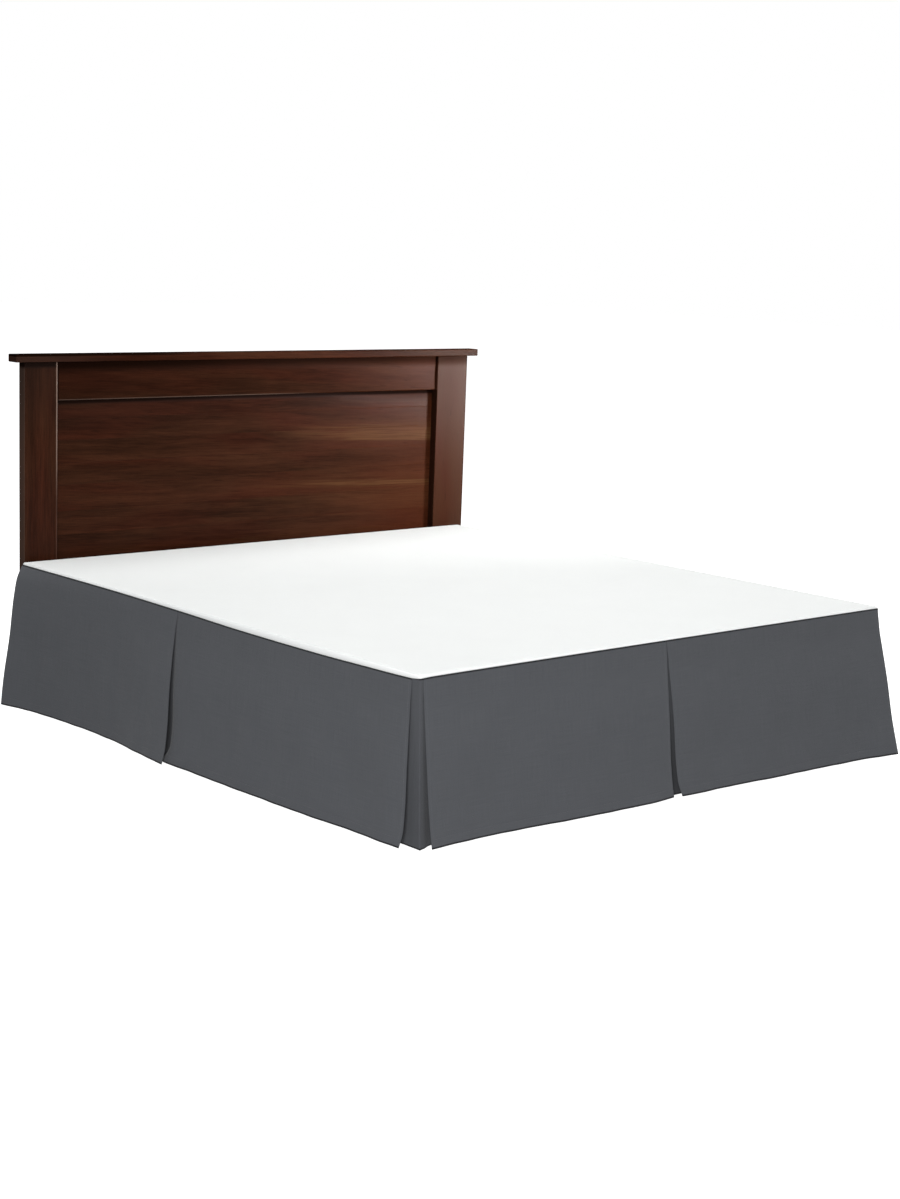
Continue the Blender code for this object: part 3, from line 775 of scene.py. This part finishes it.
def close_cloth(name, points, faces, threads, edges, thicknesses, finish):
    """Gives a cloth's outer face its thickness: an inner face, joined by a soft fold round the rim."""
    outer = bpy.data.meshes.new(name + "_face")
    outer.from_pydata(points, [], faces)
    outer.update()
    normals = [Vector(n.vector) for n in outer.vertex_normals]
    bpy.data.meshes.remove(outer)
    count = len(points)
    rim = {}
    for face in faces:
        for a, b in zip(face, face[1:] + face[:1]):
            if (b, a) in rim:
                del rim[(b, a)]
            else:
                rim[(a, b)] = None
    outwards = {}
    for a, b in rim:
        out = (points[b] - points[a]).cross(normals[a]).normalized()
        for k in (a, b):
            outwards[k] = outwards.get(k, Vector()) + out
    middle = {k: 2 * count + n for n, k in enumerate(outwards)}
    all_points = list(points)
    all_points += [p - n * t for p, n, t in zip(points, normals, thicknesses)]
    for k, out in outwards.items():
        bulge = out.normalized() * thicknesses[k] * FOLD_BULGE
        all_points.append(points[k] - normals[k] * thicknesses[k] / 2 + bulge)
    all_faces = list(faces)
    all_faces += [tuple(count + k for k in reversed(face)) for face in faces]
    for a, b in rim:
        all_faces.append((b, a, middle[a], middle[b]))
        all_faces.append((middle[b], middle[a], count + a, count + b))
    source = list(range(count)) * 2 + list(outwards)
    mesh = smooth_mesh(name, all_points, all_faces, finish)
    layer = mesh.uv_layers.new(name="threads")
    for loop in mesh.loops:
        layer.data[loop.index].uv = threads[source[loop.vertex_index]]
    attribute = mesh.attributes.new("edge", "FLOAT", "POINT")
    attribute.data.foreach_set("value", [edges[k] for k in source])
    return new_object(name, mesh)


stitch_tree = Tree("lockstitch", Pitch="Float", Size="Vector", Material="Material")
path = stitch_tree.node("GeometryNodeMeshToCurve", {}, {"Mesh": stitch_tree.input("Geometry")})
values = {"Curve": path, "Length": stitch_tree.input("Pitch")}
spots = stitch_tree.node("GeometryNodeCurveToPoints", {"mode": "LENGTH"}, values)
thread = stitch_tree.node("GeometryNodeMeshUVSphere", {}, {"Segments": 5, "Rings": 4, "Radius": 1.0})
stitch_tree.end(stitch_tree.node("GeometryNodeInstanceOnPoints", {}, {
    "Points": spots, "Instance": thread, "Rotation": spots.node.outputs["Rotation"],
    "Scale": stitch_tree.input("Size"),
}))

grey_thread = fibrous(
    "charcoal_thread", {"Roughness": 0.6, "Sheen Weight": 0.3}, (1400, 1400, 1400),
    (0.055, 0.060, 0.066, 1), (0.120, 0.128, 0.138, 1), 0.0002, 0.5, 1.0,
)
white_thread = fibrous(
    "white_thread", {"Roughness": 0.6, "Sheen Weight": 0.3}, (1400, 1400, 1400),
    (0.70, 0.71, 0.70, 1), (0.92, 0.93, 0.92, 1), 0.0002, 0.5, 1.0,
)

STITCH_PITCH = 0.0042
STITCH_SIZE = (0.00032, 0.00032, 0.0015)


def stitched(name, paths, finish):
    """Stitches along open paths of points, as one piece."""
    points = []
    edges = []
    for run in paths:
        first = len(points)
        points += run
        edges += [(first + k, first + k + 1) for k in range(len(run) - 1)]
    return stitch_tree.run(name, points, edges, finish, Pitch=STITCH_PITCH, Size=STITCH_SIZE)


# ---------------------------------------------------------------- the platform sheet
# One piece of white cloth laid over the box spring. It rolls over the edge and hangs down its
# side to the seam, which sags a little between the corners. A row of stitches runs along the edge.

SIDES = {
    # the corner where the side starts, the direction along it, the direction outwards
    "left": ((-BED_WIDTH / 2, FOOT_Y), (0, 1), (-1, 0)),
    "foot": ((-BED_WIDTH / 2, FOOT_Y), (1, 0), (0, -1)),
    "right": ((BED_WIDTH / 2, FOOT_Y), (0, 1), (1, 0)),
    "head": ((-BED_WIDTH / 2, HEAD_Y), (1, 0), (0, 1)),
}
SEAM = {
    # places along the side, each with the seam's depth below the top of the deck
    "left": [(0.0, 0.0105), (0.04, 0.0145), (0.25, 0.018), (0.45, 0.020), (0.80, 0.018), (1.10, 0.012),
             (1.50, 0.007), (2.032, 0.006)],
    "foot": [(0.0, 0.0105), (0.05, 0.0088), (0.30, 0.008), (0.70, 0.007), (1.30, 0.006), (1.930, 0.006)],
    "right": [(0.0, 0.006), (0.40, 0.012), (0.80, 0.015), (1.30, 0.012), (1.70, 0.008), (2.032, 0.007)],
    "head": [(0.0, 0.006), (0.50, 0.010), (0.97, 0.012), (1.45, 0.010), (1.930, 0.007)],
}
DECK_BEND = 0.005
DECK_FOOT_RADIUS = 0.008
DECK_HEAD_RADIUS = 0.012
DECK_CELLS = 84
DECK_THICK = CLOTH * 0.8
SEAM_TUCK = 0.0007         # how far the cloth is drawn in at the seam
INSIDE = 0.05              # the distance from an edge that is given to the sheet's top
ROLL = (
    # turn of the cloth in degrees, share of the fall from there to the seam
    (22.5, 0.0), (45.0, 0.0), (67.5, 0.0), (90.0, 0.0), (90.0, 0.5), (90.0, 1.0),
)
DECK_CREASES = [
    # place across, place along, direction in degrees, length, width, height
    (-0.80, -0.80, 38, 0.22, 0.020, 0.0016), (-0.72, -0.90, 62, 0.16, 0.016, 0.0012),
    (0.78, -0.82, 140, 0.20, 0.022, 0.0015), (0.30, -0.86, 96, 0.13, 0.018, 0.0010),
    (-0.20, -0.84, 80, 0.12, 0.016, 0.0010), (-0.84, 0.20, 8, 0.13, 0.018, 0.0012),
    (0.84, 0.35, 172, 0.12, 0.020, 0.0010), (-0.40, 0.55, 20, 0.45, 0.050, 0.0014),
    (0.35, 0.10, 152, 0.50, 0.060, 0.0015), (0.05, -0.35, 12, 0.42, 0.055, 0.0013),
    (-0.50, -0.15, 120, 0.36, 0.045, 0.0012), (0.60, 0.75, 65, 0.30, 0.040, 0.0012),
]


def edge_places(length, first_radius, last_radius):
    """Places along one edge of the sheet as (along, inset, lean of the edge's normal)."""
    places = []
    for k in range(3):
        lean = math.radians(45 - 15 * k)
        places.append((first_radius * (1 - math.sin(lean)), first_radius * (1 - math.cos(lean)), -lean))
    straight = DECK_CELLS - 6
    for k in range(straight + 1):
        places.append((first_radius + (length - first_radius - last_radius) * k / straight, 0.0, 0.0))
    for k in range(3):
        lean = math.radians(15 + 15 * k)
        places.append((length - last_radius * (1 - math.sin(lean)), last_radius * (1 - math.cos(lean)), lean))
    return places


def edge_ring(side, first_radius, last_radius):
    """Points on one edge of the sheet as (point, outward direction, seam depth)."""
    corner, along, out = SIDES[side]
    along = Vector((*along, 0.0))
    out = Vector((*out, 0.0))
    start = Vector((*corner, 0.0))
    length = SEAM[side][-1][0]
    return [
        (
            start + along * place - out * inset,
            out * math.cos(lean) + along * math.sin(lean),
            curve(SEAM[side], place),
        )
        for place, inset, lean in edge_places(length, first_radius, last_radius)
    ]


foot_ring = edge_ring("foot", DECK_FOOT_RADIUS, DECK_FOOT_RADIUS)
right_ring = edge_ring("right", DECK_FOOT_RADIUS, DECK_HEAD_RADIUS)
head_ring = edge_ring("head", DECK_HEAD_RADIUS, DECK_HEAD_RADIUS)
left_ring = edge_ring("left", DECK_FOOT_RADIUS, DECK_HEAD_RADIUS)


def deck_height(x, y):
    """Soft creases and hollows of the sheet, which fade out towards its edge."""
    across = math.sin(x * 5.1 + 2.2 * math.sin(y * 2.3))
    down = math.sin(y * 4.3 + 1.7 * math.sin(x * 3.1))
    rise = 0.0004 * (1 + across * down)
    for place_x, place_y, turn, length, width, height in DECK_CREASES:
        angle = math.radians(turn)
        along = (x - place_x) * math.cos(angle) + (y - place_y) * math.sin(angle)
        aside = (y - place_y) * math.cos(angle) - (x - place_x) * math.sin(angle)
        rise += height * math.exp(-((along / length * 2) ** 2) - (aside / width * 2) ** 2)
    inside = min(BED_WIDTH / 2 - abs(x), y - FOOT_Y, HEAD_Y - y)
    return rise * min(max((inside - 0.008) / 0.05, 0.0), 1.0)


def flat_edge(entry):
    """Where the sheet's flat top ends, inwards of a point on its edge."""
    point, out, _ = entry
    return point - out * DECK_BEND


deck_points = []
deck_threads = []
deck_edges = []
deck_faces = []
cells = DECK_CELLS
for j in range(cells + 1):
    for i in range(cells + 1):
        u, v = i / cells, j / cells
        corners = (
            flat_edge(foot_ring[0]) * (1 - u) * (1 - v) + flat_edge(foot_ring[-1]) * u * (1 - v)
            + flat_edge(head_ring[0]) * (1 - u) * v + flat_edge(head_ring[-1]) * u * v
        )
        flat = (
            flat_edge(foot_ring[i]) * (1 - v) + flat_edge(head_ring[i]) * v
            + flat_edge(left_ring[j]) * (1 - u) + flat_edge(right_ring[j]) * u - corners
        )
        deck_points.append(Vector((flat.x, flat.y, DECK_TOP + deck_height(flat.x, flat.y))))
        deck_threads.append((flat.x, flat.y))
        deck_edges.append(INSIDE)
for j in range(cells):
    for i in range(cells):
        k = j * (cells + 1) + i
        deck_faces.append((k, k + 1, k + cells + 2, k + cells + 1))

loop = [(i, 0, foot_ring[i]) for i in range(cells)]
loop += [(cells, j, right_ring[j]) for j in range(cells)]
loop += [(cells - i, cells, head_ring[cells - i]) for i in range(cells)]
loop += [(0, cells - j, left_ring[cells - j]) for j in range(cells)]
ring_before = [j * (cells + 1) + i for i, j, _ in loop]
for turn, fall in ROLL:
    angle = math.radians(turn)
    ring_now = []
    for _, _, (point, out, depth) in loop:
        hanging = (depth - DECK_BEND) * fall
        inwards = DECK_BEND * (1 - math.sin(angle)) + (SEAM_TUCK if fall == 1.0 else 0.0)
        height = DECK_TOP - DECK_BEND * (1 - math.cos(angle)) - hanging
        travelled = DECK_BEND * angle + hanging
        ring_now.append(len(deck_points))
        deck_points.append(point - out * inwards + Vector((0.0, 0.0, height)))
        thread = point + out * (travelled - DECK_BEND)
        deck_threads.append((thread.x, thread.y))
        # the turned-down edge and the drop take the white cloth's painted edge colour: painted light
        deck_edges.append(0.0 if turn > 60.0 else INSIDE)
    for k in range(len(loop)):
        n = (k + 1) % len(loop)
        deck_faces.append((ring_before[k], ring_now[k], ring_now[n], ring_before[n]))
    ring_before = ring_now

deck_thicknesses = [DECK_THICK] * len(deck_points)
deck_sheet = close_cloth(
    "platform_sheet", deck_points, deck_faces, deck_threads, deck_edges, deck_thicknesses, white_cloth,
)
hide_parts("deck")
STITCH_INSET = 0.009
STITCH_RISE = 0.0001
stitch_height = Vector((0.0, 0.0, DECK_TOP + STITCH_RISE))
deck_path = [point - out * STITCH_INSET + stitch_height for _, _, (point, out, _) in loop]
deck_stitches = stitched("platform_stitches", [deck_path + deck_path[:1]], white_thread)


# ---------------------------------------------------------------- the underlays
# Pieces of the same charcoal cloth hang behind each gap between two panels: flat ones behind the
# middle pleats, and at each foot corner one that is folded round the corner. Their colour is painted
# a little darker all over and more towards the floor, the flat ones most: painted shade.

FLARE = [
    # share of the drop, flare in general, flare at the head end
    (0.00, 0.00, 0.00),
    (0.08, 0.06, 0.22),
    (0.17, 0.13, 0.345),
    (0.30, 0.27, 0.475),
    (0.50, 0.48, 0.63),
    (0.75, 0.71, 0.84),
    (0.90, 0.88, 0.94),
    (1.00, 1.00, 1.00),
]
INSERT_HALF_WIDTH = 0.090
INSERTS = [
    # name, side, place of the pleat at the seam and at the hem, flare, hem height
    ("insert_left", "left", 1.109, 1.066, 0.042, 0.0030),
    ("insert_foot", "foot", 0.935, 0.935, 0.055, 0.0055),
    ("insert_right", "right", 1.015, 1.014, 0.045, 0.0065),
]
DROP = 0.450
PINCH = 0.0015             # below the seam, where it draws the cloth in
HEM_STITCH = 0.4258        # below the seam, where the hem is stitched down
FALLS = [0.0, PINCH, 0.004, 0.008, 0.014, 0.022]
FALLS += [0.022 + 0.012 * k for k in range(1, 33)]
FALLS += [0.4235, 0.4248, HEM_STITCH, 0.4272, 0.4285, 0.433, 0.440, 0.446, 0.4485, DROP]
DROPS = [fall / DROP for fall in FALLS]
SIDE_FADE = 0.0042         # a cloth's side edges get less painted edge shade than its hem does, and none at all close to the seam
FADE_BELOW_SEAM = 0.050    # and not at all close to the seam


def on_side(side, place, outwards, height):
    """Turns a place along one side of the bed, a distance outwards and a height into a point."""
    corner, along, out = SIDES[side]
    return Vector((
        corner[0] + along[0] * place + out[0] * outwards,
        corner[1] + along[1] * place + out[1] * outwards,
        height,
    ))


def seam_height(side, place):
    """Height of a hanging cloth's top edge, just below the seam."""
    return DECK_TOP - curve(SEAM[side], place) - GAP


def hang(name, columns, surface, finish, turned):
    """A hanging cloth from a surface of (column, share of the drop), with hems on three edges."""
    width = columns[-1]
    points = []
    threads = []
    edges = []
    thicknesses = []
    for drop, fall in zip(DROPS, FALLS):
        to_hem = DROP - fall
        faded = SIDE_FADE + max(FADE_BELOW_SEAM - fall, 0.0) * 0.04
        for column in columns:
            aside = min(column, width - column)
            points.append(surface(column, drop))
            threads.append((column, fall))
            edges.append(min(fall, to_hem, aside + faded))
            hemmed = to_hem < HEM - 0.0003 or aside < SIDE_HEM
            thicknesses.append(HEMMED if hemmed else THIN)
    count = len(columns)
    faces = []
    for r in range(len(DROPS) - 1):
        for c in range(count - 1):
            k = r * count + c
            face = (k, k + count, k + count + 1, k + 1)
            faces.append(tuple(reversed(face)) if turned else face)
    return close_cloth(name, points, faces, threads, edges, thicknesses, finish)


SIDE_COLUMNS = [0.0, 0.0015, 0.004, 0.008, 0.0115, 0.0125, 0.016]


def columns_for(width):
    """Columns across a cloth as distances from its first edge, closer together in the side hems."""
    near = SIDE_COLUMNS
    inner = width - 2 * near[-1]
    cells = max(int(inner / 0.011), 4)
    middle = [near[-1] + inner * k / cells for k in range(1, cells)]
    return near + middle + [width - d for d in reversed(near)]


for name, side, seam_place, hem_place, flare, hem_height in INSERTS:

    def surface(column, drop):
        aside = column - INSERT_HALF_WIDTH
        place = seam_place + (hem_place - seam_place) * drop + aside
        top = seam_height(side, seam_place + aside)
        outwards = flare * curve(FLARE, drop) - CLOTH - GAP
        return on_side(side, place, outwards, top + (hem_height - top) * drop)

    columns = columns_for(2 * INSERT_HALF_WIDTH)
    underlay = hang(name + "_cloth", columns, surface, shaded_underlay_cloth, side == "left")
    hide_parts(name)

CORNER_INSERTS = [
    # name, side, flare at its end on the long side, of its fold across and along, at its end on the foot
    ("insert_corner_left", "left", 0.012, (0.0135, 0.0386), 0.012),
    ("insert_corner_right", "right", 0.014, (0.018, 0.042), 0.016),
]
CORNER_INSERT_HEM_Z = 0.003
INSERT_REACH = 0.120
ROUNDED = 0.12             # share of the reach that the fold takes up
WING_DIP = (0.32, 0.0195)  # share of the reach, and flare, where the wing along the foot levels out

for name, side, wing_flare, fold_flare, foot_flare in CORNER_INSERTS:
    corner, _, out = SIDES[side]
    top = seam_height(side, 0.0)
    foot_rows = [(0.0, fold_flare[1]), WING_DIP, (1.0, foot_flare)]

    def surface(column, drop):
        share_out = curve(FLARE, drop)
        height = top + (CORNER_INSERT_HEM_Z - top) * drop
        share = abs(column - INSERT_REACH) / INSERT_REACH
        round_off = max(1 - share / ROUNDED, 0.0)
        if column < INSERT_REACH:
            across = (fold_flare[0] + (wing_flare - fold_flare[0]) * share) * share_out - CLOTH - GAP
            along = (fold_flare[1] * share_out - CLOTH - GAP) * round_off - INSERT_REACH * share
        else:
            across = (fold_flare[0] * share_out - CLOTH - GAP) * round_off - INSERT_REACH * share
            along = curve(foot_rows, share) * share_out - CLOTH - GAP
        return Vector((corner[0] + out[0] * across, corner[1] - along, height))

    columns = SIDE_COLUMNS[:-1] + [0.016 + 0.0098 * k for k in range(9)] + [0.1056, 0.110, 0.115, 0.1185]
    columns = columns + [INSERT_REACH] + [2 * INSERT_REACH - c for c in reversed(columns)]
    underlay = hang(name + "_cloth", columns, surface, shaded_corner_cloth, side == "right")
    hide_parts(name)


# ---------------------------------------------------------------- the skirt panels
# Six charcoal panels, two on each side, hang from the seam and flare out a little to their hems.
# Their ends meet at the pleats. Bottom and ends are folded back and stitched down.

END_SHARES = (0.0, 0.15, 0.5, 0.9, 1.0)   # shares of the drop where a panel's ends are placed
PANELS = [
    # name, side, whether it ends at the head, where in their swing its soft waves begin,
    # places of its two ends along the side at the END_SHARES of the drop,
    # hem as rows of share of the width, flare and height over the floor
    (
        "panel_left_foot", "left", False, (0.4, 1.9, 4.4),
        (0.033, 0.0295, 0.0145, -0.001, 0.0075), (1.108, 1.109, 1.090, 1.068, 1.099),
        [(0.00, 0.046, 0.0045), (0.07, 0.055, 0.0060), (0.15, 0.053, 0.0055), (0.30, 0.061, 0.0055),
         (0.46, 0.069, 0.0055), (0.64, 0.0715, 0.0055), (0.82, 0.074, 0.0055), (0.92, 0.076, 0.0055),
         (0.98, 0.071, 0.0050), (1.00, 0.058, 0.0050)],
    ),
    (
        "panel_left_head", "left", True, (2.7, 0.6, 3.3),
        (1.110, 1.110, 1.083, 1.047, 1.047), (2.027, 2.016, 1.997, 1.988, 1.984),
        [(0.00, 0.0955, 0.0055), (0.08, 0.091, 0.0060), (0.17, 0.080, 0.0055), (0.30, 0.067, 0.0065),
         (0.43, 0.063, 0.0065), (0.56, 0.062, 0.0065), (0.68, 0.067, 0.0065), (0.80, 0.075, 0.0055),
         (0.91, 0.089, 0.0045), (1.00, 0.105, 0.0035)],
    ),
    (
        "panel_foot_left", "foot", False, (5.1, 3.0, 1.2),
        (0.013, 0.013, 0.0135, 0.017, 0.020), (0.934, 0.9345, 0.929, 0.924, 0.926),
        [(0.00, 0.050, 0.0035), (0.12, 0.048, 0.0055), (0.28, 0.050, 0.0050), (0.44, 0.057, 0.0050),
         (0.59, 0.068, 0.0050), (0.76, 0.075, 0.0050), (0.94, 0.075, 0.0050), (1.00, 0.0715, 0.0060)],
    ),
    (
        "panel_foot_right", "foot", False, (0.9, 5.5, 2.1),
        (0.9355, 0.940, 0.9430, 0.942, 0.956), (1.9277, 1.9275, 1.927, 1.9245, 1.924),
        [(0.00, 0.0775, 0.0060), (0.08, 0.082, 0.0055), (0.27, 0.083, 0.0050), (0.45, 0.092, 0.0040),
         (0.64, 0.096, 0.0040), (0.82, 0.107, 0.0050), (0.92, 0.118, 0.0045), (1.00, 0.125, 0.0035)],
    ),
    (
        "panel_right_foot", "right", False, (3.6, 2.4, 0.3),
        (0.000, 0.005, 0.010, 0.006, 0.004), (1.0145, 1.0135, 1.010, 1.001, 0.998),
        [(0.00, 0.045, 0.0035), (0.15, 0.052, 0.0055), (0.35, 0.062, 0.0055), (0.55, 0.068, 0.0055),
         (0.80, 0.074, 0.0055), (1.00, 0.080, 0.0045)],
    ),
    (
        "panel_right_head", "right", True, (1.5, 4.2, 5.8),
        (1.0155, 1.017, 1.020, 1.028, 1.030), (2.027, 2.015, 1.996, 1.9895, 1.988),
        [(0.00, 0.086, 0.0035), (0.12, 0.076, 0.0055), (0.35, 0.064, 0.0065), (0.60, 0.061, 0.0065),
         (0.85, 0.070, 0.0055), (1.00, 0.080, 0.0045)],
    ),
]
for name, side, head_end, (first, second, third), starts, ends, hem in PANELS:
    seam_start = starts[0]
    width = ends[0] - seam_start
    start_rows = list(zip(END_SHARES, starts))
    end_rows = list(zip(END_SHARES, ends))

    def surface(column, drop):
        share = column / width
        top = seam_height(side, seam_start + column)
        fall = drop * DROP
        reached = curve(FLARE, drop)
        if head_end:
            reached += (curve(FLARE, drop, 2) - reached) * share
        outwards = curve(hem, share) * reached
        soft = 0.0011 * math.sin(column * 17.0 + first + drop * 1.3)
        soft += 0.0007 * math.sin(column * 37.0 + second)
        soft += 0.0005 * math.sin(column * 71.0 + third - drop * 2.0)
        outwards += soft * drop**1.3
        pucker = 0.5 + 0.5 * math.sin(column * 430.0 + 2.0 * math.sin(column * 31.0 + first))
        outwards += 0.0005 * pucker * math.exp(-fall / 0.010) * min(fall / 0.002, 1.0)
        if fall < PINCH:
            outwards -= 0.0008 * (1 - fall / PINCH)
        if abs(fall - HEM_STITCH) < 0.0001:
            outwards -= 0.00035
        start = curve(start_rows, drop)
        end = curve(end_rows, drop)
        height = top + (curve(hem, share, 2) - top) * drop
        return on_side(side, start + (end - start) * share, outwards, height)

    cloth = hang(name + "_cloth", columns_for(width), surface, grey_cloth, side == "left")
    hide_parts(name)
    across = [width * k / 160 for k in range(161)]
    down = [drop for drop in DROPS if 0.01 < drop < 0.946]
    runs = [
        [surface(c, HEM_STITCH / DROP) for c in across if STITCH_INSET < c < width - STITCH_INSET],
        [surface(STITCH_INSET, drop) for drop in down],
        [surface(width - STITCH_INSET, drop) for drop in down],
    ]
    stitches = stitched(name + "_stitches", runs, grey_thread)
    width + 0.05
